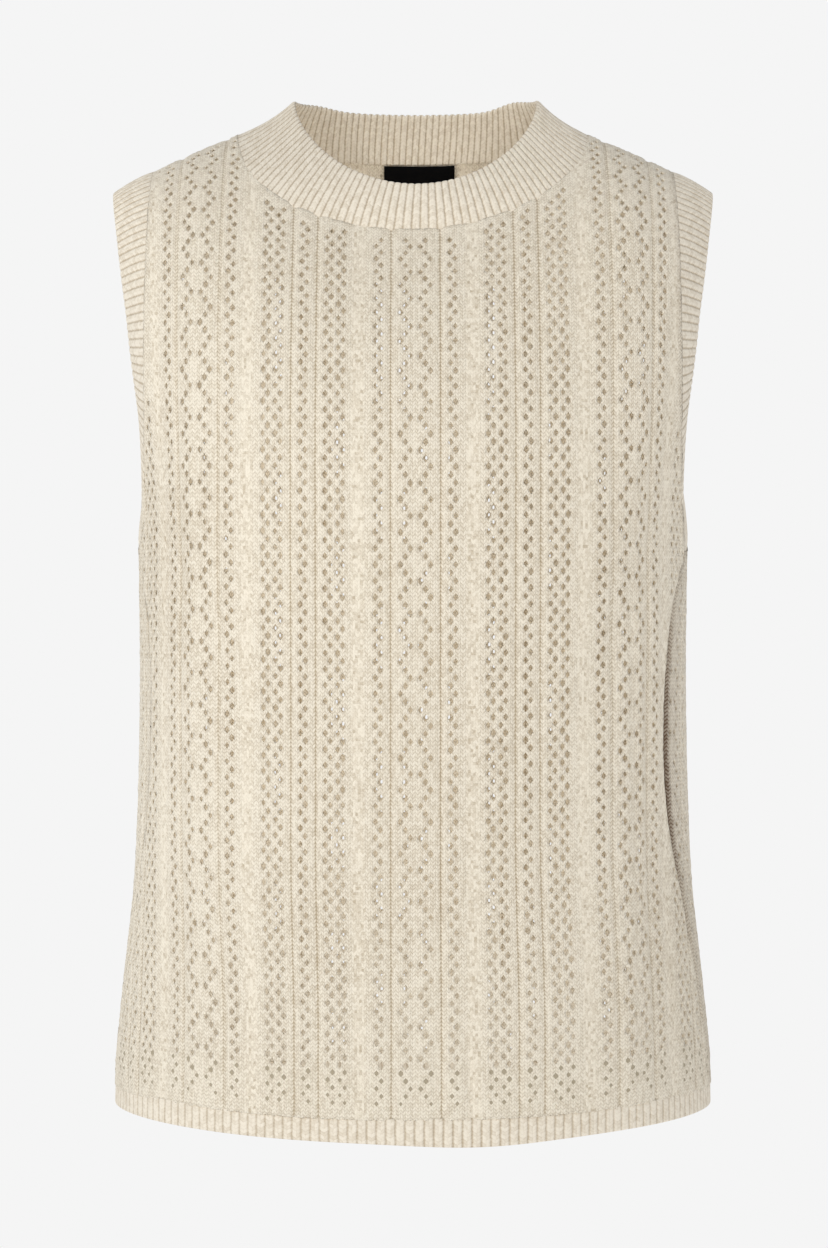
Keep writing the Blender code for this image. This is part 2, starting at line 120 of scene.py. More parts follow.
def table_value(table, columns, name, height):
    """A named column of a table at any height, on a smooth curve through its rows."""
    rows = np.array(table)
    at, value = rows[:, 0], rows[:, columns.index(name)]
    slope = np.gradient(value, at)
    height = np.clip(height, at[0], at[-1])
    i = np.clip(np.searchsorted(at, height) - 1, 0, len(at) - 2)
    step = at[i + 1] - at[i]
    t = (height - at[i]) / step
    start = value[i] + slope[i] * step * t * (1 - t) ** 2
    return start - slope[i + 1] * step * t**2 * (1 - t) + (value[i + 1] - value[i]) * t**2 * (3 - 2 * t)


def body(name, height):
    return table_value(BODY, BODY_COLUMNS, name, height)


def unit(vectors):
    return vectors / np.linalg.norm(vectors, axis=-1, keepdims=True)


def shoulder_height(x):
    """The shoulder line: straight outside the neck, an arch across it."""
    outside = NECK_SIDE - SHOULDER_SLOPE * (np.abs(x) - NECK_HALF_WIDTH)
    across = NECK_SIDE + SHOULDER_SLOPE / (2 * NECK_HALF_WIDTH) * (NECK_HALF_WIDTH**2 - x**2)
    return np.where(np.abs(x) > NECK_HALF_WIDTH, outside, across)


def neck_height(x, drop):
    """The neck seam: half an ellipse in height, its lowest part a little to the left in front."""
    across = np.clip(x / NECK_HALF_WIDTH, -1, 1)
    if drop == NECK_FRONT_DROP:
        across = across + NECK_FRONT_SHIFT / NECK_HALF_WIDTH * (1 - across**6)
    return NECK_SIDE - drop * np.sqrt(np.clip(1 - across**2, 0, 1))


def top_height(x, drop):
    return np.where(np.abs(x) < NECK_HALF_WIDTH, neck_height(x, drop), shoulder_height(x))


def lean(x, height, front):
    """How far the cloth still stands out above the chest: a power of 1 less the rise squared, and 0 at the
    shoulder line. The power changes with the square of the distance out from the middle."""
    rise = np.clip((height - CHEST_TOP) / (shoulder_height(x) - CHEST_TOP), 0, HIGHEST_RISE)
    across = np.clip(np.abs(x) / SHOULDER_ROUND_X, 0, 1) ** 2
    front_power = 1.0 / (FRONT_LEAN[0] + FRONT_LEAN[1] * across)
    power = np.where(front, front_power, BACK_LEAN[0] + BACK_LEAN[1] * across)
    return (1 - rise**2) ** power


def skin(angle, height):
    """The form of the body of the top: an oval at each height, whose angle runs from the centre front."""
    angle, height = np.broadcast_arrays(np.radians(angle), np.asarray(height, float))
    s, c = np.sin(angle), np.cos(angle)
    square = body("squareness", height)
    depth = np.where(c > 0, body("front_depth", height), body("back_depth", height))
    x = body("half_width", height) * s * (1 + square * c**2)
    y = -depth * c * (1 + square * s**2) * lean(x, height, c > 0)
    return np.stack([x, y, height], axis=-1)


def skin_normal(angle, height):
    """Outward normal of the form, from two short steps along it."""
    turn, climb = 0.05, 0.05
    height = np.minimum(height, shoulder_height(skin(angle, height)[..., 0]) - 2 * climb)
    around = skin(angle + turn, height) - skin(angle - turn, height)
    up = skin(angle, height + climb) - skin(angle, height - climb)
    return unit(np.cross(around, up))


def angle_at(x, height):
    """The angle from the centre line at which the form reaches a distance x, by repeated correction."""
    width, square = body("half_width", height), body("squareness", height)
    sine = np.clip(x / width, 0, 1)
    for _ in range(12):
        sine = np.clip(x / width / (1 + square * (1 - sine**2)), 0, 1)
    return np.degrees(np.arcsin(sine))


def edge_angle(height, side, back):
    """The angle of a panel's side edge from its own centre: the side seam, then a quarter of an ellipse up
    to the straight part of the armhole."""
    column = "right" if side > 0 else "left"
    seam = table_value(SIDE_SEAMS, SEAM_COLUMNS, column, np.minimum(height, UNDERARM))
    corner = table_value(SIDE_SEAMS, SEAM_COLUMNS, column, UNDERARM)
    straight = angle_at(ARMHOLE_X, height)
    if back:
        seam, corner = 180 - seam, 180 - corner
    curve_top = UNDERARM + ARMHOLE_CURVE
    fall = np.clip((curve_top - height) / (curve_top - UNDERARM), 0, 1)
    return np.where(height < UNDERARM, seam, straight + (corner - straight) * (1 - np.sqrt(1 - fall**2)))


def hem_height(lowest, angle):
    return lowest + HEM_RISE * np.sin(np.radians(angle)) ** 2


def wale_angle(across, height, back):
    """The angle, from the panel's centre, of a wale that lies a distance across from it: straight up as far
    out as STRAIGHT_X, then at the same spacing along the cloth. Low in front the wales lean right."""
    low = np.clip((WALE_LEAN_TOP - height) / WALE_LEAN_SPAN, 0, 1)
    outer_share = np.clip(np.abs(across) / WALE_LEAN_X, 0, 1)
    across = across + (0.0 if back else WALE_LEAN) * low**2 * (3 - 2 * low) * outer_share
    reach = np.abs(across)
    angle = angle_at(np.minimum(reach, STRAIGHT_X), height)
    extra = np.maximum(reach - STRAIGHT_X, 0)
    width = body("half_width", height)
    front_depth, back_depth = body("front_depth", height), body("back_depth", height)
    steps = 10
    for _ in range(steps):
        own = np.clip((DEPTH_CHANGE[1] - angle) / (DEPTH_CHANGE[1] - DEPTH_CHANGE[0]), 0, 1)
        front = 1 - own if back else own
        depth = back_depth + (front_depth - back_depth) * front
        turn = np.radians(angle)
        stand = lean(width * np.sin(turn), height, front > 0.5)
        radius = np.hypot(width * np.cos(turn), depth * stand * np.sin(turn))
        angle = angle + np.degrees(extra / steps / radius)
    return np.sign(across) * angle


def body_angle(own_angle, back):
    return 180.0 - own_angle if back else own_angle


def climb_table(back):
    """Heights on wales at even lengths of cloth up from the hem seam, as a grid to read between. Each wale
    runs on a little above the shoulder line, so that all of them reach it."""
    across = np.linspace(-CLIMB_REACH, CLIMB_REACH, 57)
    length = np.linspace(0, CLIMB_LENGTH, 641)
    heights = []
    for w in across:
        shoulder = float(shoulder_height(np.array(w)))
        rise = np.linspace(0, 1, 700)
        start = float(hem_height(HEM_SEAM, wale_angle(np.array(w), HEM_SEAM, back)))
        z = np.append(start + (shoulder - start) * (1 - (1 - rise) ** 1.8), shoulder + CLIMB_SPARE)
        points = skin(body_angle(wale_angle(np.full_like(z, w), z, back), back), z)
        travelled = np.concatenate([[0], np.cumsum(np.linalg.norm(np.diff(points, axis=0), axis=1))])
        heights.append(np.interp(length, travelled, z))
    return across, length, np.array(heights).T


def read_grid(table, across, length):
    """Reads the climb table between its rows and columns, in a straight line both ways."""
    columns, rows, heights = table
    c = np.clip((across - columns[0]) / (columns[1] - columns[0]), 0, len(columns) - 1.001)
    r = np.clip((length - rows[0]) / (rows[1] - rows[0]), 0, len(rows) - 1.001)
    c0, r0 = c.astype(int), r.astype(int)
    c, r = c - c0, r - r0
    low = heights[r0, c0] * (1 - c) + heights[r0, c0 + 1] * c
    high = heights[r0 + 1, c0] * (1 - c) + heights[r0 + 1, c0 + 1] * c
    return low * (1 - r) + high * r


# The lace in wales out from the middle of a lozenge to the middle of the next, where it is mirrored.
# A trellis of eyelets steps from wale to wale, one eyelet each second course.
REPEAT = 44.5
TRELLIS_COLUMNS = ("wale", "steps")
TRELLISES = (
    (1.0, (0, 1, 2, 1)),
    (7.0, (1, 0)),
    (14.5, (0, 1)),
    (17.0, (0, 1)),
    (22.0, (0, 1)),
    (27.0, (1, 0)),
    (29.5, (1, 0)),
    (37.0, (0, 1)),
    (41.5, (2, 1, 0, 1)),
)
GROOVES = (5.0, 20.0, 25.0, 39.8)
GROOVE_DEPTH = 0.75
GROOVE_WIDTH = 0.42
MOSS = ((10.0, 12.8), (32.5, 35.2))
MOSS_EDGE = 0.3


def fold_repeat(wale):
    """A wale's place in the lace: its distance from the lozenge middle of the repeat it lies in."""
    return np.abs((wale + REPEAT) % (2 * REPEAT) - REPEAT)


def eyelet_lines(half_lines, courses):
    """Which half-wale lines carry the middle of an eyelet at each step of two courses."""
    folded = fold_repeat(np.arange(-half_lines, half_lines + 1) / 2)
    steps = courses // 2
    found = np.zeros((steps, len(folded)), bool)
    order = np.arange(steps)[:, None]
    for row in TRELLISES:
        trellis = dict(zip(TRELLIS_COLUMNS, row))
        walk = np.array(trellis["steps"])
        place = trellis["wale"] + walk[order % len(walk)]
        found |= np.abs(folded[None, :] - place) < 0.1
    return found


def knit_relief(wale):
    """Height of the cloth by wale: each purl wale sinks into a narrow groove, a bell curve across it."""
    folded = fold_repeat(wale)
    relief = np.zeros_like(folded)
    for groove in GROOVES:
        relief -= GROOVE_DEPTH * np.exp(-(((folded - groove) / GROOVE_WIDTH) ** 2))
    return relief


def moss_share(wale):
    """1 within the strips of moss stitch and 0 outside, with a short ramp at their edges."""
    folded = fold_repeat(wale)
    share = np.zeros_like(folded)
    for low, high in MOSS:
        share += np.clip((folded - low) / MOSS_EDGE, 0, 1) * np.clip((high - folded) / MOSS_EDGE, 0, 1)
    return share


def soft_folds(points, back):
    """Slow swells and hollows of hanging cloth, a millimetre or two deep: each a long bell curve, tilted
    from upright."""
    x, z = points[..., 0], points[..., 2]
    folds = np.zeros_like(x)
    for row in FOLDS["back" if back else "front"]:
        fold = dict(zip(FOLD_COLUMNS, row))
        cosine, sine = math.cos(math.radians(fold["tilt"])), math.sin(math.radians(fold["tilt"]))
        dx, dz = x - fold["x"], z - fold["z"]
        across = (dx * cosine + dz * sine) / fold["width"]
        along = (-dx * sine + dz * cosine) / fold["length"]
        folds += fold["height"] * np.exp(-(across**2) - along**2)
    return folds


FOLD_COLUMNS = ("x", "z", "length", "width", "tilt", "height")
FOLDS = {
    "front": (
        (112, -255, 60, 10, -22, -1.4),
        (-116, -250, 60, 10, 24, -1.3),
        (96, -130, 70, 14, 12, -1),
        (-98, -135, 70, 14, -12, -1),
        (130, -430, 90, 12, 4, -1.5),
        (-128, -440, 90, 12, -4, -1.5),
        (62, -450, 80, 18, 3, 1),
        (-58, -440, 80, 18, -3, 1),
        (0, -470, 70, 20, 0, -0.8),
        (118, -300, 100, 2.4, 1, -0.9),
        (127, -330, 110, 2.4, 2, -1.2),
        (30, -500, 30, 2.4, 3, -1),
        (12, -500, 36, 2.4, -3, -0.9),
    ),
    "back": (
        (0, -330, 110, 16, 0, -1.6),
        (60, -290, 90, 15, 12, 1.3),
        (-60, -290, 90, 15, -12, 1.3),
        (104, -250, 70, 12, -20, -1.4),
        (-104, -250, 70, 12, 20, -1.4),
        (118, -420, 90, 13, 5, -1.5),
        (-118, -420, 90, 13, -5, -1.5),
        (30, -470, 70, 16, 0, 1),
        (-40, -460, 70, 16, 0, 1),
    ),
}
CLOTH_OUT = 0.85
CLOTH_IN = 0.35
COURSES = 290
FRONT_HALF_LINES = 176
BACK_HALF_LINES = 208
GATHER = 0.4
GATHER_STEPS = 28
# Eyelets: full size in front and at the sides, small on the back as far out as the first wale named.
EYELET_HALF_HEIGHT = (2.2, 1.25)
EYELET_HALF_WIDTH = (1.24, 0.66)
BACK_SMALL_WALES = (64.0, 67.0)
EYELET_SIZES = (0.86, 1.1)
EYELET_SHOULDER = 0.6
EYELET_PROUD = 0.4
RIDGE_SPREAD = (1.5, 1.7)
RIDGE_FULL = 0.16
FIRST_EYELET_ROW = 3
# Eyelets drawn shut, as dimples in uncut cloth painted in the dark tan of shade: the lowest steps in front
# and the highest on the back.
SHUT_FRONT_STEPS = 7
SHUT_BACK_STEP = 111
SHUT_SIZE = (0.8, 0.95)
SHUT_DIMPLE = 0.35
STITCH_PROUD = 0.04
STITCH_SPREAD = 0.12
EDGE_MARGIN = 3.4
SEAM_DIP = {"right": 2.1, "left": 0.6}
SEAM_DIP_WIDTH = 2.4
TOP_DIP = 0.3
TOP_DIP_WIDTH = 1.6
# Painted shade along the side seams and the armhole edges, and on the back's right side strip.
SEAM_SHADE_Z = -335.0
SEAM_SHADE_LENGTH = 85.0
SEAM_SHADE_WIDTH = 3.3
SEAM_SHADE_SPREAD = (0.75, 1.15)
ARMHOLE_SHADE = 0.3
LEFT_SHADE = 0.15
SIDE_SHADE = 0.28
SIDE_SHADE_WIDTH = 22.0


def bell_table(count, spread):
    """Weights that average a row of values under a bell curve, as a square table."""
    place = np.arange(count)
    weights = np.exp(-((place[:, None] - place[None, :]) ** 2) / (2 * spread**2))
    return weights / weights.sum(1, keepdims=True)


def eyelet_ridges(marks):
    """How near each point lies to a run of eyelets, 0 to 1: the marks blurred by a bell curve both ways."""
    rows, columns = marks.shape
    near = bell_table(rows, RIDGE_SPREAD[0]) @ marks.astype(float) @ bell_table(columns, RIDGE_SPREAD[1])
    return np.clip(near / RIDGE_FULL, 0, 1)


def lace_panel(back, seed):
    """The grid of a panel: half-wale columns by courses, cut off at the side edges and the top. Returns
    outer and inner points, stitch coordinates, shares of moss stitch and of painted groove and seam shade,
    vertex numbers after the cut, and the cells of open eyelets and of shut ones, painted in shade."""
    drop = NECK_BACK_DROP if back else NECK_FRONT_DROP
    half_lines = BACK_HALF_LINES if back else FRONT_HALF_LINES
    columns = np.arange(-half_lines, half_lines + 1)
    wale = np.broadcast_to(columns / 2, (COURSES, len(columns))).copy()
    course = np.broadcast_to(np.arange(COURSES)[:, None], wale.shape).astype(float)

    # Each eyelet draws its foot and head apart and the points beside them to its own width. The lowest
    # eyelets are the smallest.
    jitter = np.random.default_rng(seed)
    across = np.zeros_like(wale)
    along = np.zeros_like(wale)
    step, line = np.nonzero(eyelet_lines(half_lines, COURSES))
    inside = (line > 0) & (line < len(columns) - 1)
    step, line = step[inside], line[inside]
    size = jitter.uniform(*EYELET_SIZES, len(step)) * np.clip(0.7 + step / 20, 0, 1)
    foot, head = 2 * step, 2 * step + 1
    half = COURSE / 2
    small = np.interp(np.abs(columns[line] / 2), BACK_SMALL_WALES, (1.0, 0.0)) * back
    half_height = EYELET_HALF_HEIGHT[0] + (EYELET_HALF_HEIGHT[1] - EYELET_HALF_HEIGHT[0]) * small
    half_width = EYELET_HALF_WIDTH[0] + (EYELET_HALF_WIDTH[1] - EYELET_HALF_WIDTH[0]) * small
    shut = step >= SHUT_BACK_STEP if back else step < SHUT_FRONT_STEPS
    tall, wide = (np.where(shut, share, 1.0) * size for share in SHUT_SIZE)
    for end, way in ((foot, 1), (head, -1)):
        along[end, line] -= way * (half_height * tall - half)
        for side in (-1, 1):
            across[end, line + side] += side * (half_width * wide - WALE / 2)
            along[end, line + side] += way * (half - EYELET_SHOULDER * size)

    # Courses lie a little closer together near the hem. A point past an edge of the panel stays on that
    # edge, which repeated correction finds.
    centre = 0.0 if back else LACE_CENTRE
    width = wale * WALE + across + centre
    gathered = GATHER * GATHER_STEPS * (1 - np.exp(-course / 2 / GATHER_STEPS))
    length = course * COURSE - gathered + along
    height = read_grid(climb_table(back), width, length)

    side = np.sign(wale + 0.01)
    own = np.abs(wale_angle(width, height, back))
    edge = np.where(side > 0, edge_angle(height, 1, back), edge_angle(height, -1, back))
    out = own >= edge
    own = np.minimum(own, edge)
    points = skin(body_angle(side * own, back), height)
    limit = top_height(points[..., 0], drop)
    over = height >= limit - 0.05
    for _ in range(8):
        height = np.minimum(height, limit)
        turned = np.abs(wale_angle(width, height, back))
        rim = np.where(side > 0, edge_angle(height, 1, back), edge_angle(height, -1, back))
        own = np.where(out, rim, np.minimum(turned, rim))
        points = skin(body_angle(side * own, back), height)
        limit = top_height(points[..., 0], drop)

    # Past the cut, each grid place takes the number of the last one before it, so its cells close up.
    column = np.broadcast_to(np.arange(len(columns)), wale.shape)
    right, left = out[:, half_lines:], out[:, half_lines::-1]
    right_cut = half_lines + np.where(right.any(1), right.argmax(1), half_lines)
    left_cut = half_lines - np.where(left.any(1), left.argmax(1), half_lines)
    column = np.clip(column, left_cut[:, None], right_cut[:, None])
    top_cut = np.where(over.any(0), over.argmax(0), COURSES - 1)
    row = np.minimum(np.arange(COURSES)[:, None], top_cut[column])
    number = row * len(columns) + column

    # The cloth lies on the form, lifted by stitches, folds and eyelet runs, and pulled in at its seams.
    # Distance from the side edge is its angle times about the millimetres that a degree spans.
    angle = body_angle(side * own, back)
    normals = skin_normal(angle, height)
    radius = np.radians(1.0) * np.hypot(points[..., 0], points[..., 1] * 1.2 + 30)
    from_side = np.clip(edge - own, 0, 40) * np.maximum(radius, 1.0)
    from_top = np.clip(top_height(points[..., 0], drop) - height, 0, 200)
    dip = np.where(side > 0, SEAM_DIP["right"], SEAM_DIP["left"])
    marks = np.zeros(wale.shape, bool)
    marks[foot, line] = marks[head, line] = True
    lift = knit_relief(wale) + soft_folds(points, back) + EYELET_PROUD * eyelet_ridges(marks)
    lift += STITCH_PROUD * np.cos(2 * math.pi * wale) + jitter.normal(0, STITCH_SPREAD, wale.shape)
    lift -= dip * np.exp(-((from_side / SEAM_DIP_WIDTH) ** 2)) * (height < UNDERARM - 2)
    lift -= TOP_DIP * np.exp(-((from_top / TOP_DIP_WIDTH) ** 2))
    for end in (foot, head):
        lift[end[shut], line[shut]] -= SHUT_DIMPLE

    # Painted shade: the grooves and the deep valley of the right side seam are darker than the cloth beside
    # them, the left seam and the armhole edges a little, and on the back a broad strip beside the right
    # seam.
    groove_shade = np.clip(-knit_relief(wale) / GROOVE_DEPTH, 0, 1)
    valley = np.exp(-(((height - SEAM_SHADE_Z) / SEAM_SHADE_LENGTH) ** 2))
    strength = np.where(height < UNDERARM, valley, ARMHOLE_SHADE) * np.where(side > 0, 1.0, LEFT_SHADE)
    strength = strength * jitter.uniform(*SEAM_SHADE_SPREAD, wale.shape)
    seam = strength * np.exp(-((from_side / SEAM_SHADE_WIDTH) ** 4))
    # Painted shade on the back's right side strip, which turns away from the light.
    if back:
        beside = np.exp(-((from_side / SIDE_SHADE_WIDTH) ** 2))
        seam += SIDE_SHADE * beside * (side > 0) * (height < UNDERARM)
    seated = points + normals * lift[..., None]
    outer = seated + normals * CLOTH_OUT
    inner = seated - normals * CLOTH_IN

    near = (from_side < EDGE_MARGIN) | (from_top < EDGE_MARGIN) | out | over
    blocked = foot < FIRST_EYELET_ROW
    for side in (-1, 0, 1):
        blocked |= near[foot, line + side] | near[head, line + side]
    # Open eyelets are cut; shut ones stay whole and are marked for painted shade.
    holes, pit_shade = np.zeros((2, COURSES - 1, len(columns) - 1), bool)
    for cells, chosen in ((holes, ~blocked & ~shut), (pit_shade, ~blocked & shut)):
        cells[foot[chosen], line[chosen] - 1] = True
        cells[foot[chosen], line[chosen]] = True
    stitches = np.stack([(width - centre) / WALE, course + along / COURSE], axis=-1)
    shares = np.stack([moss_share(wale), groove_shade, seam], axis=-1)
    return outer, inner, stitches, shares, number, holes, pit_shade


def add_shell(
    name, outer, inner, faces, stitches, shares, crease=(), inner_shift=0.0, round_length=0.0, pit_shade=None
):
    """A closed wall from like outer and inner points. Faces are rows of four vertex numbers, one of them
    twice in a triangle. The inner side is the outer one turned round, and each free edge gets a face across
    the wall. Edges between crease points stay sharp. On a round piece the stitches run on past its length
    where it closes. Pit shade marks the faces of eyelets that are drawn shut, which are painted in shade."""
    same = np.stack([faces[:, k] == faces[:, (k + 1) % 4] for k in range(4)], axis=1)
    crossed = (faces[:, 0] == faces[:, 2]) | (faces[:, 1] == faces[:, 3])
    kept = (same.sum(1) < 2) & ~crossed
    pit_shade = np.zeros(len(faces), bool)[kept] if pit_shade is None else pit_shade[kept]
    faces, same = faces[kept], same[kept]
    shift = np.where(same.any(1), same.argmax(1) + 2, 0)
    faces = faces[np.arange(len(faces))[:, None], (np.arange(4)[None, :] + shift[:, None]) % 4]
    triangle = same.any(1)
    used, renumbered = np.unique(faces, return_inverse=True)
    faces = renumbered.reshape(-1, 4)
    outer, inner = outer.reshape(-1, 3)[used], inner.reshape(-1, 3)[used]
    stitches, shares = stitches.reshape(-1, 2)[used], shares.reshape(-1, 3)[used]
    count = len(used)
    creased = np.tile(np.isin(used, crease), 2)
    quads, triangles = faces[~triangle], faces[triangle][:, :3]

    starts = np.concatenate([quads.ravel(), triangles.ravel()])
    ends = np.concatenate([np.roll(quads, -1, axis=1).ravel(), np.roll(triangles, -1, axis=1).ravel()])
    free = ~np.isin(starts.astype(np.int64) * count + ends, ends.astype(np.int64) * count + starts)
    a, b = starts[free], ends[free]
    rims = np.stack([b, a, a + count, b + count], axis=1)
    fours = np.concatenate([quads, quads[:, ::-1] + count, rims])
    threes = np.concatenate([triangles, triangles[:, ::-1] + count])
    across = np.zeros(len(rims), bool)
    pit_shade = np.concatenate([np.tile(pit_shade[~triangle], 2), across, np.tile(pit_shade[triangle], 2)])

    mesh = bpy.data.meshes.new(name)
    loops = np.concatenate([fours.ravel(), threes.ravel()])
    mesh.vertices.add(2 * count)
    mesh.vertices.foreach_set("co", (np.concatenate([outer, inner]) * MILLIMETRE).ravel())
    mesh.loops.add(len(loops))
    mesh.loops.foreach_set("vertex_index", loops.astype(np.int32))
    mesh.polygons.add(len(fours) + len(threes))
    sizes = np.concatenate([np.full(len(fours), 4), np.full(len(threes), 3)])
    mesh.polygons.foreach_set("loop_start", np.concatenate([[0], np.cumsum(sizes)[:-1]]).astype(np.int32))
    mesh.polygons.foreach_set("loop_total", sizes.astype(np.int32))
    mesh.polygons.foreach_set("use_smooth", np.ones(len(sizes), bool))
    corner = stitches[loops % count]
    corner[:, 0] += np.where(loops >= count, inner_shift, 0.0)
    if round_length:
        fours_long = corner[: 4 * len(fours), 0].reshape(-1, 4)
        wrapped = (fours_long.max(1) - fours_long.min(1) > round_length / 2)[:, None]
        fours_long += np.where(wrapped & (fours_long < round_length / 2), round_length, 0.0)
    layer = mesh.uv_layers.new(name="stitches")
    layer.uv.foreach_set("vector", corner.astype(np.float32).ravel())
    for k, kind in enumerate(("moss", "groove_shade", "seam")):
        share = mesh.attributes.new(kind, "FLOAT", "POINT")
        share.data.foreach_set("value", np.tile(shares[:, k], 2).astype(np.float32))
    mesh.attributes.new("painted_pit_shade", "FLOAT", "FACE").data.foreach_set("value", pit_shade.astype(np.float32))
    mesh.update(calc_edges=True)
    ends = np.zeros(2 * len(mesh.edges), np.int32)
    mesh.edges.foreach_get("vertices", ends)
    ends = ends.reshape(-1, 2)
    sharp = creased[ends].all(1) & ((ends[:, 0] < count) == (ends[:, 1] < count))
    mesh.attributes.new("sharp_edge", "BOOLEAN", "EDGE").data.foreach_set("value", sharp)
    made = bpy.data.objects.new(name, mesh)
    bpy.context.scene.collection.objects.link(made)
    return made


def math_node(nodes, links, operation, *inputs):
    """One Math node whose inputs are sockets or numbers."""
    node = nodes.new("ShaderNodeMath")
    node.operation = operation
    for socket, value in zip(node.inputs, inputs):
        if isinstance(value, (int, float)):
            socket.default_value = value
        else:
            links.new(value, socket)
    return node.outputs[0]


def set_inputs(node, values):
    """Inputs of a shader node set by their names."""
    for name, value in values.items():
        node.inputs[name].default_value = value


def knit_material(name, light, deep, ribbed, bump):
    """Cotton knit, by stitch coordinates: two slanted legs to each plain stitch, gaps at random in moss
    stitch, a tint of its own for every stitch, a fine fuzz, and painted light and shade: lighter legs,
    darker gaps between them and in the moss, and darker grooves, shut eyelets, side seams and rib valleys."""
    made = bpy.data.materials.new(name)
    made.use_nodes = True
    nodes, links = made.node_tree.nodes, made.node_tree.links
    shader = nodes["Principled BSDF"]

    calc = partial(math_node, nodes, links)
    times, plus, minus = partial(calc, "MULTIPLY"), partial(calc, "ADD"), partial(calc, "SUBTRACT")

    def hump(value):
        """1 where the value is 1, falling to 0 at 0 and 2: 1 less a power of the distance."""
        away = calc("ABSOLUTE", minus(value, 1.0))
        return minus(1.0, calc("POWER", away, 2.5))

    def cell_value(across, along):
        """A random value wherever across and along round down to the same whole numbers."""
        cell = nodes.new("ShaderNodeCombineXYZ")
        links.new(calc("FLOOR", across), cell.inputs[0])
        links.new(calc("FLOOR", along), cell.inputs[1])
        noise = nodes.new("ShaderNodeTexWhiteNoise")
        noise.noise_dimensions = "2D"
        links.new(cell.outputs[0], noise.inputs["Vector"])
        return noise.outputs["Value"]

    def cloud(scale, detail):
        """Soft noise by place on the piece."""
        noise = nodes.new("ShaderNodeTexNoise")
        set_inputs(noise, {"Scale": scale, "Detail": detail})
        links.new(where.outputs["Object"], noise.inputs["Vector"])
        return noise.outputs["Fac"]

    def share(kind):
        node = nodes.new("ShaderNodeAttribute")
        node.attribute_name = kind
        return node.outputs["Fac"]

    def darken(factor, base, dark):
        """The base colour mixed with a dark one by a factor, for painted shade."""
        node = nodes.new("ShaderNodeMix")
        node.data_type = "RGBA"
        node.clamp_factor = True
        links.new(factor, node.inputs[0])
        links.new(base, node.inputs[6])
        node.inputs[7].default_value = (*dark, 1.0)
        return node.outputs[2]

    place = nodes.new("ShaderNodeUVMap")
    place.uv_map = "stitches"
    where = nodes.new("ShaderNodeTexCoord")
    parts = nodes.new("ShaderNodeSeparateXYZ")
    links.new(place.outputs[0], parts.inputs[0])
    u, v = parts.outputs[0], parts.outputs[1]
    off = calc("ABSOLUTE", minus(calc("FRACT", plus(u, 0.5)), 0.5))
    slant = plus(v, times(off, 1.3))
    leg = hump(times(calc("FRACT", slant), 2.0))
    across = plus(times(hump(times(off, 4.0)), 0.45), 0.55)
    plain = times(plus(times(leg, 0.7), 0.3), across)
    gap = cell_value(times(u, 2.0), times(v, 1.5))
    open_gap = calc("MINIMUM", times(gap, 3.2), 1.0)
    purl = times(plus(times(plain, 0.45), 0.45), open_gap)
    if ribbed:
        plain = plus(times(plain, 0.45), 0.5)
    mix = nodes.new("ShaderNodeMix")
    links.new(share("moss"), mix.inputs[0])
    links.new(plain, mix.inputs[2])
    links.new(purl, mix.inputs[3])
    raised = mix.outputs[0]
    groove_shade = share("groove_shade")
    # Painted shade: the colour darkens in the valleys between ribs, and in the lace along a thin line in
    # each purl groove.
    if ribbed:
        valley = calc("SMOOTH_MIN", times(minus(0.5, off), 6.0), 1.0, 0.2)
        raised = times(raised, valley)
        deep_line = times(times(minus(1.0, valley), 0.5), groove_shade)
    else:
        deep_line = calc("POWER", groove_shade, 3.0)

    own = cell_value(times(u, 2.0), slant)
    fuzz, drift = cloud(1500.0, 3.0), cloud(9.0, 2.0)
    # Painted light and shade of the stitches: lighter on the raised legs, darker between them and in the
    # open moss gaps, and darker by the painted groove and valley shade, a little less on the legs. Each
    # stitch also has a random tint of its own.
    sunk = times(deep_line, minus(1.2, times(leg, 0.7)))
    tone = plus(times(raised, 0.42), times(own, 0.34))
    tone = minus(plus(tone, 0.13), times(sunk, 0.85))
    tone = plus(tone, times(minus(fuzz, 0.5), 0.6))
    tone = plus(tone, times(minus(drift, 0.5), 0.25))
    ramp = nodes.new("ShaderNodeValToRGB")
    ramp.color_ramp.elements[0].position = 0.0
    ramp.color_ramp.elements[0].color = (*deep, 1.0)
    ramp.color_ramp.elements[1].position = 0.75
    ramp.color_ramp.elements[1].color = (*light, 1.0)
    links.new(tone, ramp.inputs[0])
    # Painted shade: the shut eyelets take the dark tan of the shaded inside seen through an eyelet.
    with_pit_shade = darken(share("painted_pit_shade"), ramp.outputs[0], (0.46, 0.39, 0.28))
    # Painted shade along the seams: dark brown mixed in, broken up by the stitch legs.
    uneven = minus(1.15, times(leg, 0.5))
    with_seam_shade = darken(times(uneven, share("seam")), with_pit_shade, (0.13, 0.075, 0.04))
    links.new(with_seam_shade, shader.inputs["Base Color"])

    relief = nodes.new("ShaderNodeBump")
    set_inputs(relief, {"Strength": 1.0, "Distance": bump})
    links.new(plus(raised, times(fuzz, 0.25)), relief.inputs["Height"])
    links.new(relief.outputs[0], shader.inputs["Normal"])
    set_inputs(shader, {"Roughness": 0.9, "Specular IOR Level": 0.25})
    set_inputs(shader, {"Sheen Weight": 0.12, "Sheen Roughness": 0.6})
    return made


lace_cream = knit_material("lace_knit_cream", (0.91, 0.83, 0.69), (0.50, 0.40, 0.27), False, 0.0004)


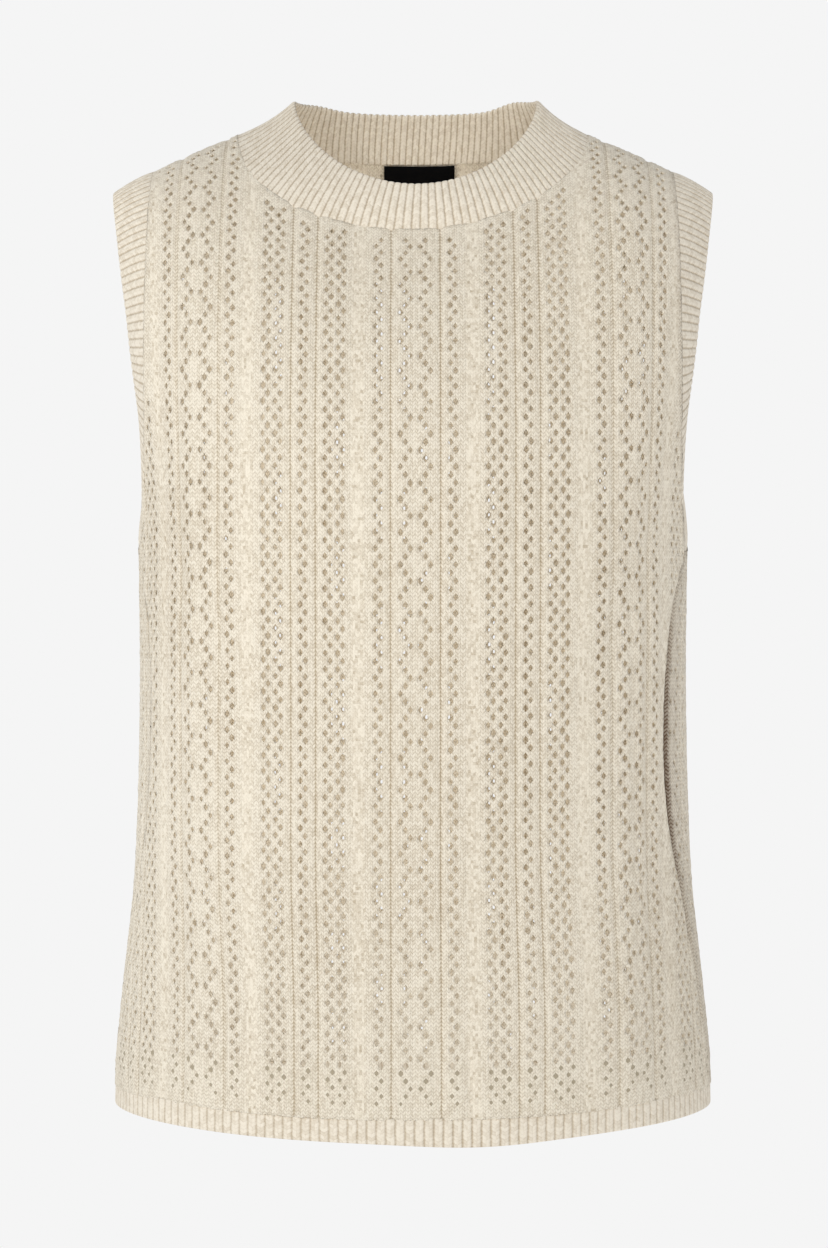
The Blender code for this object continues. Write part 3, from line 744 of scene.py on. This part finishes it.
def add_lace(name, panel, first, last, back):
    """The strip of a panel between two of its half-wale lines, as one piece of cloth."""
    outer, inner, stitches, shares, number, holes, pit_shade = panel
    middle = (outer.shape[1] - 1) // 2
    low = 0 if first is None else middle + int(first * 2)
    high = outer.shape[1] - 1 if last is None else middle + int(last * 2)
    rows, columns = np.nonzero(~holes[:, low:high])
    columns = columns + low
    corners = [number[rows + up, columns + along] for up, along in ((0, 0), (0, 1), (1, 1), (1, 0))]
    faces = np.stack(corners[::-1] if back else corners, axis=1)
    cuts = [column for column, cut in ((low, first), (high, last)) if cut is not None]
    crease = number[:, cuts].ravel()
    piece = add_shell(name, outer, inner, faces, stitches, shares, crease, pit_shade=pit_shade[rows, columns])
    piece.data.materials.append(lace_cream)
    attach(piece, "root")
    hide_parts("back_panel" if back else "front_panel")


front_lace = lace_panel(back=False, seed=11)
add_lace("front_lace_left", front_lace, None, 5, False)
add_lace("front_lace_right", front_lace, 5, None, False)


# Back panel: the same knit and the same lace, cut higher at the neck, and wide enough to come round both
# sides. It is joined to the front panel at the shoulders and down each side.
back_lace = lace_panel(back=True, seed=23)
add_lace("back_lace_left_side", back_lace, None, -49.5, True)
add_lace("back_lace_left", back_lace, -49.5, 5, True)
add_lace("back_lace_right", back_lace, 5, 49.5, True)
add_lace("back_lace_right_side", back_lace, 49.5, None, True)


# Neckband: a crew band in plain rib, one wale up and one down, knitted on at the neck seam all round. It
# stands up in a soft curve to a level rim at the back and dips in front. Both of its faces show ribs.
NECKBAND_RIBS = 116
RIB_STEPS = 6
RIB_OUT = 0.7
RIB_IN = 0.6
RIB_RISE = 0.46
RIB_POWER = 2.4
RIB_FADE = 0.18
RIB_COURSE = 2.0
SEAM_TUCK = 0.45
SCALLOP_START = 0.9
RIM_START = 0.95
RIM_THINNING = 0.93
RIM_SCALLOP = 0.8
NORMAL_SMOOTHING = 5.0
NECK_RIM_SMOOTHING = 4.0
NECK_EDGE_HALF_WIDTH = 68.0
NECK_EDGE_CENTRE_X = 1.7
NECK_EDGE_SIDE = 32.0
NECK_EDGE_FRONT_Y = -60.0
NECK_EDGE_BACK_Y = 49.0
NECK_EDGE_FRONT_DROP = 54.0
NECK_EDGE_CURVE = 1.2
NECKBAND_BULGE = 1.6
NECKBAND_SIDE_HOLLOW = 3.4
NECK_CORNER_RISE = (4.0, 2.0)
NECK_CORNER_TURN = 0.82
NECK_CORNER_WIDTH = 0.16
NECK_FLARE_FRONT = (1.3, 2)
NECK_FLARE_BACK = (1.0, 6)


def even_steps(line, values, count, closed):
    """Values along a line of points, read where count even steps of its length fall, and that length."""
    if closed:
        line, values = np.concatenate([line, line[:1]]), np.concatenate([values, values[:1]])
    travelled = np.concatenate([[0], np.cumsum(np.linalg.norm(np.diff(line, axis=0), axis=1))])
    wanted = np.linspace(0, travelled[-1], count + 1)[: count if closed else count + 1]
    read = [np.interp(wanted, travelled, values[:, k]) for k in range(values.shape[1])]
    return np.stack(read, axis=-1), travelled[-1]


def smooth_round(line, spread):
    """A closed line, each point averaged with its neighbours under a bell curve, spread in steps."""
    bell = np.exp(-2 * (math.pi * np.fft.fftfreq(len(line)) * spread) ** 2)
    return np.fft.ifft(np.fft.fft(line, axis=0) * bell[:, None], axis=0).real


def across_normal(line, away, like):
    """Normals of a band along a closed line: square to the line and to away, turned the way of like."""
    normal = unit(np.cross(np.roll(line, -1, axis=0) - np.roll(line, 1, axis=0), away))
    return normal * np.sign(np.sum(normal * like, axis=-1, keepdims=True))


def rib_arch(place):
    """Height across a rib, 0 in the valleys to 1 on its back: 1 less a power of the distance from it."""
    return 1 - np.abs(2 * (place % 1.0) - 1) ** RIB_POWER


def grid_faces(number, turned=False):
    """Four vertex numbers for each cell of a grid of them, the other way round if turned."""
    corners = [number[:-1, :-1], number[:-1, 1:], number[1:, 1:], number[1:, :-1]]
    return np.stack([corner.ravel() for corner in (corners[::-1] if turned else corners)], axis=1)


def add_ribbing(name, start, middle, rim, like, closed, rows, share=1.0, scallop=0.0):
    """A ribbed band. Its middle is the parabola through three lines, at t = 0, 1/2 and 1 from seam to rim.
    Ribs arch out of both faces by their share, those inside between those outside, fade in at the seam,
    and round over at the rim, which each rib pushes out by the scallop."""
    t = rows[:, None, None]
    middle_face = start * (2 * t - 1) * (t - 1) - 4 * middle * t * (t - 1) + rim * t * (2 * t - 1)
    columns = middle_face.shape[1]
    if closed:
        around = np.roll(middle_face, -1, axis=1) - np.roll(middle_face, 1, axis=1)
    else:
        around = np.gradient(middle_face, axis=1)
    normal = unit(np.cross(around, np.gradient(middle_face, axis=0)))
    way = np.sign(np.sum(normal * like))
    normal = normal * way

    place = np.arange(columns) / RIB_STEPS
    share = np.broadcast_to(share, columns)
    near_rim = np.clip((rows - SCALLOP_START) / (1 - SCALLOP_START), 0, 1)[:, None]
    pushed = scallop * rib_arch(place) * near_rim
    middle_face = middle_face + unit(rim - middle) * pushed[..., None]
    into_rim = np.clip((rows - RIM_START) / (1 - RIM_START), 0, 1)[:, None]
    over = np.sqrt(1 - RIM_THINNING * into_rim**2)
    fade = np.clip(rows / RIB_FADE + 0.05, 0, 1)[:, None]
    tuck = np.where(rows < 0, SEAM_TUCK, 0.0)[:, None]
    outer_rise = (RIB_OUT + RIB_RISE * share * rib_arch(place) * fade) * over - tuck
    inner_rise = (RIB_IN + RIB_RISE * share * rib_arch(place + 0.5) * fade) * over - tuck
    outer = middle_face + normal * outer_rise[..., None]
    inner = middle_face - normal * inner_rise[..., None]

    steps = np.diff(middle_face, axis=0, prepend=middle_face[:1])
    climbed = np.cumsum(np.linalg.norm(steps, axis=-1), axis=0)
    stitches = np.stack([np.broadcast_to(place - 0.5, climbed.shape), climbed / RIB_COURSE], axis=-1)
    number = np.arange(len(rows) * columns).reshape(len(rows), columns)
    if closed:
        number = np.concatenate([number, number[:, :1]], axis=1)
    length = columns / RIB_STEPS if closed else 0.0
    # The rib share also sets how dark the painted shade in the rib valleys is.
    shares = np.zeros((*climbed.shape, 3))
    shares[..., 1] = share
    piece = add_shell(name, outer, inner, grid_faces(number, way < 0), stitches, shares, (), 0.5, length)
    piece.data.materials.append(rib_cream)
    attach(piece, "root")
    return piece


def neck_half(back):
    """Half of the rim and of the seam below it, left to right. The rim is half an ellipse. Below each
    point of it the seam stands out by a share that grows towards the shoulders: in front all round, at the
    back only there. The back rim rises a little near each end."""
    turn = np.sin(np.linspace(-math.pi / 2, math.pi / 2, 400))
    ahead = np.sqrt(1 - turn**2)
    flare = NECK_HALF_WIDTH / NECK_EDGE_HALF_WIDTH
    least, power = NECK_FLARE_BACK if back else NECK_FLARE_FRONT
    x = NECK_EDGE_HALF_WIDTH * turn * (least + (flare - least) * np.abs(turn) ** power)
    height = neck_height(x, NECK_BACK_DROP if back else NECK_FRONT_DROP)
    angle = body_angle(np.sign(x) * angle_at(np.abs(x), height), back)
    seam = skin(angle, height)
    seam[[0, -1], 1] = 0.0
    corner = np.exp(-(((np.abs(turn) - NECK_CORNER_TURN) / NECK_CORNER_WIDTH) ** 2))
    corner = corner * np.where(turn > 0, *NECK_CORNER_RISE)
    rim_y = (NECK_EDGE_BACK_Y if back else NECK_EDGE_FRONT_Y) * ahead
    rim_z = NECK_EDGE_SIDE + (corner if back else -NECK_EDGE_FRONT_DROP * ahead**NECK_EDGE_CURVE)
    rim = np.stack([NECK_EDGE_CENTRE_X + NECK_EDGE_HALF_WIDTH * turn, rim_y, rim_z], axis=-1)
    return np.hstack([rim, seam, skin_normal(angle, height), turn[:, None]])


rib_cream = knit_material("rib_knit_cream", (0.88, 0.80, 0.67), (0.55, 0.45, 0.32), True, 0.0004)
NECK_ROWS = np.array(
    [-0.035, 0, 0.035, 0.08, 0.15, 0.24, 0.34, 0.44, 0.54, 0.64, 0.74, 0.84, 0.92, 0.955, 0.98, 1]
)
neck_round = np.concatenate([neck_half(False), neck_half(True)[-2:0:-1]])
neck_round, _ = even_steps(neck_round[:, :3], neck_round, NECKBAND_RIBS * RIB_STEPS, True)
neck_rim, neck_start, turn = neck_round[:, :3], neck_round[:, 3:6], neck_round[:, 9]
neck_like = unit(smooth_round(neck_round[:, 6:9], NORMAL_SMOOTHING))
neck_rim = smooth_round(neck_rim, NECK_RIM_SMOOTHING)
rim_normal = across_normal(neck_rim, neck_rim - neck_start, neck_like)
middle_normal = unit(rim_normal + neck_like)
neck_bulge = NECKBAND_BULGE - NECKBAND_SIDE_HOLLOW * np.abs(turn) ** 6
neck_middle = (neck_start + neck_rim) / 2 + middle_normal * neck_bulge[:, None]
neck_scallop = RIM_SCALLOP * np.interp(neck_rim[:, 1], (-30.0, 30.0), (0.5, 1.0))
neckband = add_ribbing(
    "ribbed_neckband", neck_start, neck_middle, neck_rim, neck_like, True, NECK_ROWS, scallop=neck_scallop
)
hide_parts("neckband")


# Armhole bands: the same rib, knitted on round each armhole, wide enough to cap the shoulder, where they
# stand straight out, and turned in towards the body under the arm.
ARMHOLE_RIBS = 108
ARMHOLE_BAND_WIDTH = 26.0
ARMHOLE_BAND_BULGE = 0.9
ARMHOLE_BAND_DROOP = 0.2
# Levels from the underarm to the shoulder, and how far the band's heading turns outwards there.
ARMHOLE_BAND_LEVELS = (0.0, 0.12, 0.22, 0.43, 0.63, 0.84, 1.0)
ARMHOLE_BAND_TURNS = (-0.14, -0.04, 0.1, 0.29, 0.48, 0.76, 0.97)
ARMHOLE_SMOOTHING = (13.0, 11.0, 3.0)
ARMHOLE_RIB_SLIDE = 12.0
ARMHOLE_SLIDE_LENGTH = 32.0
ARMHOLE_ROWS = np.array([-0.035, 0, 0.04, 0.1, 0.2, 0.32, 0.44, 0.56, 0.68, 0.8, 0.9, 0.955, 0.98, 1])


def armhole_seam(side, back):
    """Half of an armhole seam, from the underarm to the shoulder, closer steps at both ends."""
    rise = np.linspace(0, 1, 400)
    top = float(shoulder_height(np.array(ARMHOLE_X)))
    height = UNDERARM + (top - UNDERARM) * rise**2 * (3 - 2 * rise)
    angle = body_angle(side * edge_angle(height, side, back), back)
    points = skin(angle, height)
    points[-1, 1] = 0.0
    return points, skin_normal(angle, height)


def add_armhole_band(side, name, node):
    """Each point of the seam sends the band's width along a heading: in over the hole, turned outwards by
    level. Between the shoulder and the underarm the rim then slides along, so that the ribs slant."""
    front_part, back_part = armhole_seam(side, False), armhole_seam(side, True)
    line = np.concatenate([front_part[0], back_part[0][-2:0:-1]])
    normal = np.concatenate([front_part[1], back_part[1][-2:0:-1]])
    count = ARMHOLE_RIBS * RIB_STEPS
    points, length = even_steps(line, np.hstack([line, normal]), count, True)
    start, like = points[:, :3], unit(smooth_round(points[:, 3:], NORMAL_SMOOTHING))
    step = length / count
    centre = np.array([side * ARMHOLE_X, 0.0, (UNDERARM + NECK_SIDE) / 2])
    seam_spread, low_spread, rim_spread = np.array(ARMHOLE_SMOOTHING) / step
    flat = smooth_round(start, seam_spread) * np.array([0.0, 1.0, 1.0])
    along = unit(np.roll(flat, -1, axis=0) - np.roll(flat, 1, axis=0))
    inwards = np.stack([np.zeros(len(flat)), -along[:, 2], along[:, 1]], axis=-1)
    inwards *= np.sign(np.sum(inwards * (centre - flat), axis=-1, keepdims=True))
    level = np.clip((start[:, 2] - UNDERARM) / (-UNDERARM), 0, 1)[:, None]
    outwards = np.interp(level, ARMHOLE_BAND_LEVELS, ARMHOLE_BAND_TURNS)
    heading = inwards * np.sqrt(1 - outwards**2) + np.array([side, 0.0, 0.0]) * outwards
    droop = np.array([0.0, 0.0, -ARMHOLE_BAND_DROOP])
    heading += droop * np.clip(level * 2 - 0.3, 0, 1) * np.clip((1.1 - level) * 4, 0, 1)
    edge = start + unit(heading) * ARMHOLE_BAND_WIDTH
    soft = np.clip(1.15 - level * 3, 0.1, 1)
    edge = edge + (smooth_round(edge, low_spread) - edge) * soft
    edge = smooth_round(edge, rim_spread)
    top = int(np.argmax(start[:, 2]))
    from_top = (np.arange(count) - top + count / 2) % count - count / 2
    away = np.abs(from_top) * step
    slide = ARMHOLE_RIB_SLIDE * (1 - np.exp(-away / ARMHOLE_SLIDE_LENGTH))
    slide = slide * np.cos(math.pi * away / length)
    slid = from_top - np.sign(from_top) * slide / step
    wanted = (slid + top) % count
    ring = np.concatenate([edge, edge[:1]])
    edge = np.stack([np.interp(wanted, np.arange(count + 1), ring[:, k]) for k in range(3)], axis=-1)
    edge_normal = across_normal(edge, edge - start, like)
    middle = (start + edge) / 2 + unit(edge_normal + like) * ARMHOLE_BAND_BULGE
    band = add_ribbing(name, start, middle, edge, like, True, ARMHOLE_ROWS)
    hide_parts(node)


add_armhole_band(-1, "ribbed_armhole_left", "armhole_band_left")
add_armhole_band(1, "ribbed_armhole_right", "armhole_band_right")


# Hem: the same rib again, a narrow band knitted on below each panel, straight down to a soft lower edge
# that sags a little in front. Its ribs are crisp near the middle and soft towards the sides.
HEM_EDGE = -532.0
HEM_RIB_PITCH = 5.0
HEM_SAG = 2.4
HEM_SAG_X = 36.0
HEM_SAG_WIDTH = 44.0
HEM_CRISP_X = 30.0
HEM_CRISP_WIDTH = 45.0
HEM_LEAST_SHARE = 0.45
HEM_ROWS = np.array([-0.08, 0, 0.06, 0.16, 0.32, 0.5, 0.68, 0.84, 0.95, 0.98, 1])


def add_hem(name, node, back):
    """The strip between the hem seam and the hem edge, over the same angles round the body."""
    last = edge_angle(np.array(HEM_SEAM), 1, back)
    first = edge_angle(np.array(HEM_SEAM), -1, back)
    own = np.linspace(-float(first), float(last), 900)
    angle = body_angle(own, back)
    line = skin(angle, hem_height(HEM_SEAM, angle))
    _, length = even_steps(line, line, 1, False)
    ribs = 2 * round(length / HEM_RIB_PITCH / 2)
    read, _ = even_steps(line, angle[:, None], ribs * RIB_STEPS, False)
    angle = read[:, 0]
    start = skin(angle, hem_height(HEM_SEAM, angle))
    edge = skin(angle, hem_height(HEM_EDGE, angle))
    sag = 0.0 if back else HEM_SAG * np.exp(-(((edge[:, 0] - HEM_SAG_X) / HEM_SAG_WIDTH) ** 2))
    edge[:, 2] -= sag
    crisp = np.exp(-(((start[:, 0] - HEM_CRISP_X) / HEM_CRISP_WIDTH) ** 2))
    share = HEM_LEAST_SHARE + (1 - HEM_LEAST_SHARE) * crisp
    like = skin_normal(angle, start[:, 2])
    band = add_ribbing(name, start, (start + edge) / 2, edge, like, False, HEM_ROWS, share)
    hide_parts(node)


add_hem("ribbed_hem_front", "hem_band_front", False)
add_hem("ribbed_hem_back", "hem_band_back", True)


# Label: a blank strip of black woven satin, its head caught in the back neck seam, so that it hangs just
# inside the back. Its foot is folded under on the strip itself, but is drawn flat, as one thin pillow.
LABEL_CENTRE_X = 3.7
LABEL_WIDTH = 41.0
LABEL_FOOT = -20.0
LABEL_HEAD = 0.8
LABEL_DEPTH = 1.5
LABEL_THICK = 0.7
LABEL_EDGE_THICK = 0.2
LABEL_SWAY = 0.25


def label_point(x, z, depth):
    """A point inside the back of the top: on the form at x and z, then in towards the wearer by depth."""
    angle = body_angle(np.sign(x) * angle_at(np.abs(x), z), True)
    return skin(angle, z) - skin_normal(angle, z) * depth[..., None]


def add_label():
    """A thin pillow of woven strip: thickness falls off by a power towards its four edges."""
    u, v = np.meshgrid(np.linspace(-1, 1, 61), np.linspace(-1, 1, 41))
    x = LABEL_CENTRE_X + u * LABEL_WIDTH / 2
    seam = neck_height(x, NECK_BACK_DROP) - LABEL_HEAD
    z = LABEL_FOOT + (seam - LABEL_FOOT) * (v + 1) / 2
    swell = (1 - np.abs(u) ** 14) * (1 - np.abs(v) ** 10)
    sway = LABEL_SWAY * np.sin(u * 2.2 + 0.4) * (1 - v) / 2
    back_face = label_point(x, z, LABEL_DEPTH + sway)
    face = label_point(x, z, LABEL_DEPTH + sway + LABEL_EDGE_THICK + LABEL_THICK * swell)
    faces = grid_faces(np.arange(x.size).reshape(x.shape))
    stitches = np.stack([x, z], axis=-1)
    return add_shell("woven_neck_label", face, back_face, faces, stitches, np.zeros((*x.shape, 3)))


label = add_label()
satin = bpy.data.materials.new("black_woven_satin")
satin.use_nodes = True
nodes, links = satin.node_tree.nodes, satin.node_tree.links
shader = nodes["Principled BSDF"]
place = nodes.new("ShaderNodeUVMap")
place.uv_map = "stitches"
parts = nodes.new("ShaderNodeSeparateXYZ")
links.new(place.outputs[0], parts.inputs[0])
calc = partial(math_node, nodes, links)
twill = calc("ADD", calc("MULTIPLY", parts.outputs[0], 2.6), parts.outputs[1])
rise = calc("PINGPONG", calc("MULTIPLY", twill, 2.2), 1.0)
speck = nodes.new("ShaderNodeTexNoise")
speck.inputs["Scale"].default_value = 9000.0
where = nodes.new("ShaderNodeTexCoord")
links.new(where.outputs["Object"], speck.inputs["Vector"])
ramp = nodes.new("ShaderNodeValToRGB")
ramp.color_ramp.elements[0].color = (0.0008, 0.0008, 0.001, 1.0)
ramp.color_ramp.elements[1].color = (0.0045, 0.0045, 0.0055, 1.0)
links.new(calc("MULTIPLY", rise, speck.outputs["Fac"]), ramp.inputs[0])
links.new(ramp.outputs[0], shader.inputs["Base Color"])
relief = nodes.new("ShaderNodeBump")
relief.inputs["Distance"].default_value = 0.00005
links.new(rise, relief.inputs["Height"])
links.new(relief.outputs[0], shader.inputs["Normal"])
set_inputs(shader, {"Roughness": 0.7, "Specular IOR Level": 0.06})
label.data.materials.append(satin)
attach(label, "root")
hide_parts("neck_label")


# Floor and light: a pale seamless floor, a wide soft light from the upper left in front, a dim low one
# from the right and a cool one from the left, so that the right side falls into soft shade, and a faint
# one inside the top that lights the back panel behind the eyelets.
FLOOR_LEVEL = -0.72
FLOOR_RADIUS = 60
FLOOR_SIDES = 96
BACKDROP_TONE = (0.913, 0.913, 0.913)
floor_mesh = bpy.data.meshes.new("floor")
turn = np.linspace(0, 2 * math.pi, FLOOR_SIDES, endpoint=False)
rim_x, rim_y = FLOOR_RADIUS * np.cos(turn), FLOOR_RADIUS * np.sin(turn)
rim_points = np.stack([rim_x, rim_y, np.full(FLOOR_SIDES, FLOOR_LEVEL)], axis=1)
floor_mesh.from_pydata(rim_points.tolist(), [], [list(range(FLOOR_SIDES))])
floor = bpy.data.objects.new("floor", floor_mesh)
bpy.context.scene.collection.objects.link(floor)
floor_paint = bpy.data.materials.new("pale_floor")
floor_paint.use_nodes = True
floor_shader = floor_paint.node_tree.nodes["Principled BSDF"]
set_inputs(floor_shader, {"Emission Color": (*BACKDROP_TONE, 1.0), "Emission Strength": 1.0})
set_inputs(floor_shader, {"Base Color": (0, 0, 0, 1), "Roughness": 1.0, "Specular IOR Level": 0.0})
floor_mesh.materials.append(floor_paint)

# The camera sees the backdrop's own tone, and the cloth is lit by a dimmer, slightly blue room.
world = bpy.data.worlds.new("studio")
bpy.context.scene.world = world
world.use_nodes = True
nodes, links = world.node_tree.nodes, world.node_tree.links
backdrop = nodes["Background"]
set_inputs(backdrop, {"Color": (*BACKDROP_TONE, 1.0), "Strength": 1.0})
room = nodes.new("ShaderNodeBackground")
set_inputs(room, {"Color": (0.93, 0.96, 1.0, 1.0), "Strength": 0.5})
seen = nodes.new("ShaderNodeLightPath")
choice = nodes.new("ShaderNodeMixShader")
links.new(seen.outputs["Is Camera Ray"], choice.inputs[0])
links.new(room.outputs[0], choice.inputs[1])
links.new(backdrop.outputs[0], choice.inputs[2])
links.new(choice.outputs[0], nodes["World Output"].inputs["Surface"])


def add_soft_light(name, place, aim, size, power, colour):
    """A square lamp at a place in metres that faces a point."""
    data = bpy.data.lights.new(name, "AREA")
    data.shape = "SQUARE"
    data.size = size
    data.energy = power
    data.color = colour
    lamp = bpy.data.objects.new(name, data)
    away = np.array(place) - np.array(aim)
    flat = math.hypot(away[0], away[1])
    lamp.location = place
    lamp.rotation_euler = (math.atan2(flat, away[2]), 0.0, math.atan2(away[0], -away[1]))
    lamp.visible_camera = False
    bpy.context.scene.collection.objects.link(lamp)
    return lamp


add_soft_light("key_light", (-1.6, -1.9, 1.0), (0.0, 0.0, -0.25), 0.8, 18.4, (1.0, 0.985, 0.955))
add_soft_light("low_light", (0.7, -2.4, 0.1), (0.0, 0.0, -0.3), 1.0, 10.8, (1.0, 0.98, 0.95))
add_soft_light("left_light", (-2.2, -0.6, -0.3), (0.0, 0.0, -0.3), 1.2, 7.0, (0.93, 0.97, 1.0))
inner_light = add_soft_light("inner_light", (-0.05, 0, -0.26), (-0.05, 1, -0.26), 0.2, 0.1, (1, 0.98, 0.93))
inner_light.data.shape = "RECTANGLE"
inner_light.data.size_y = 0.4
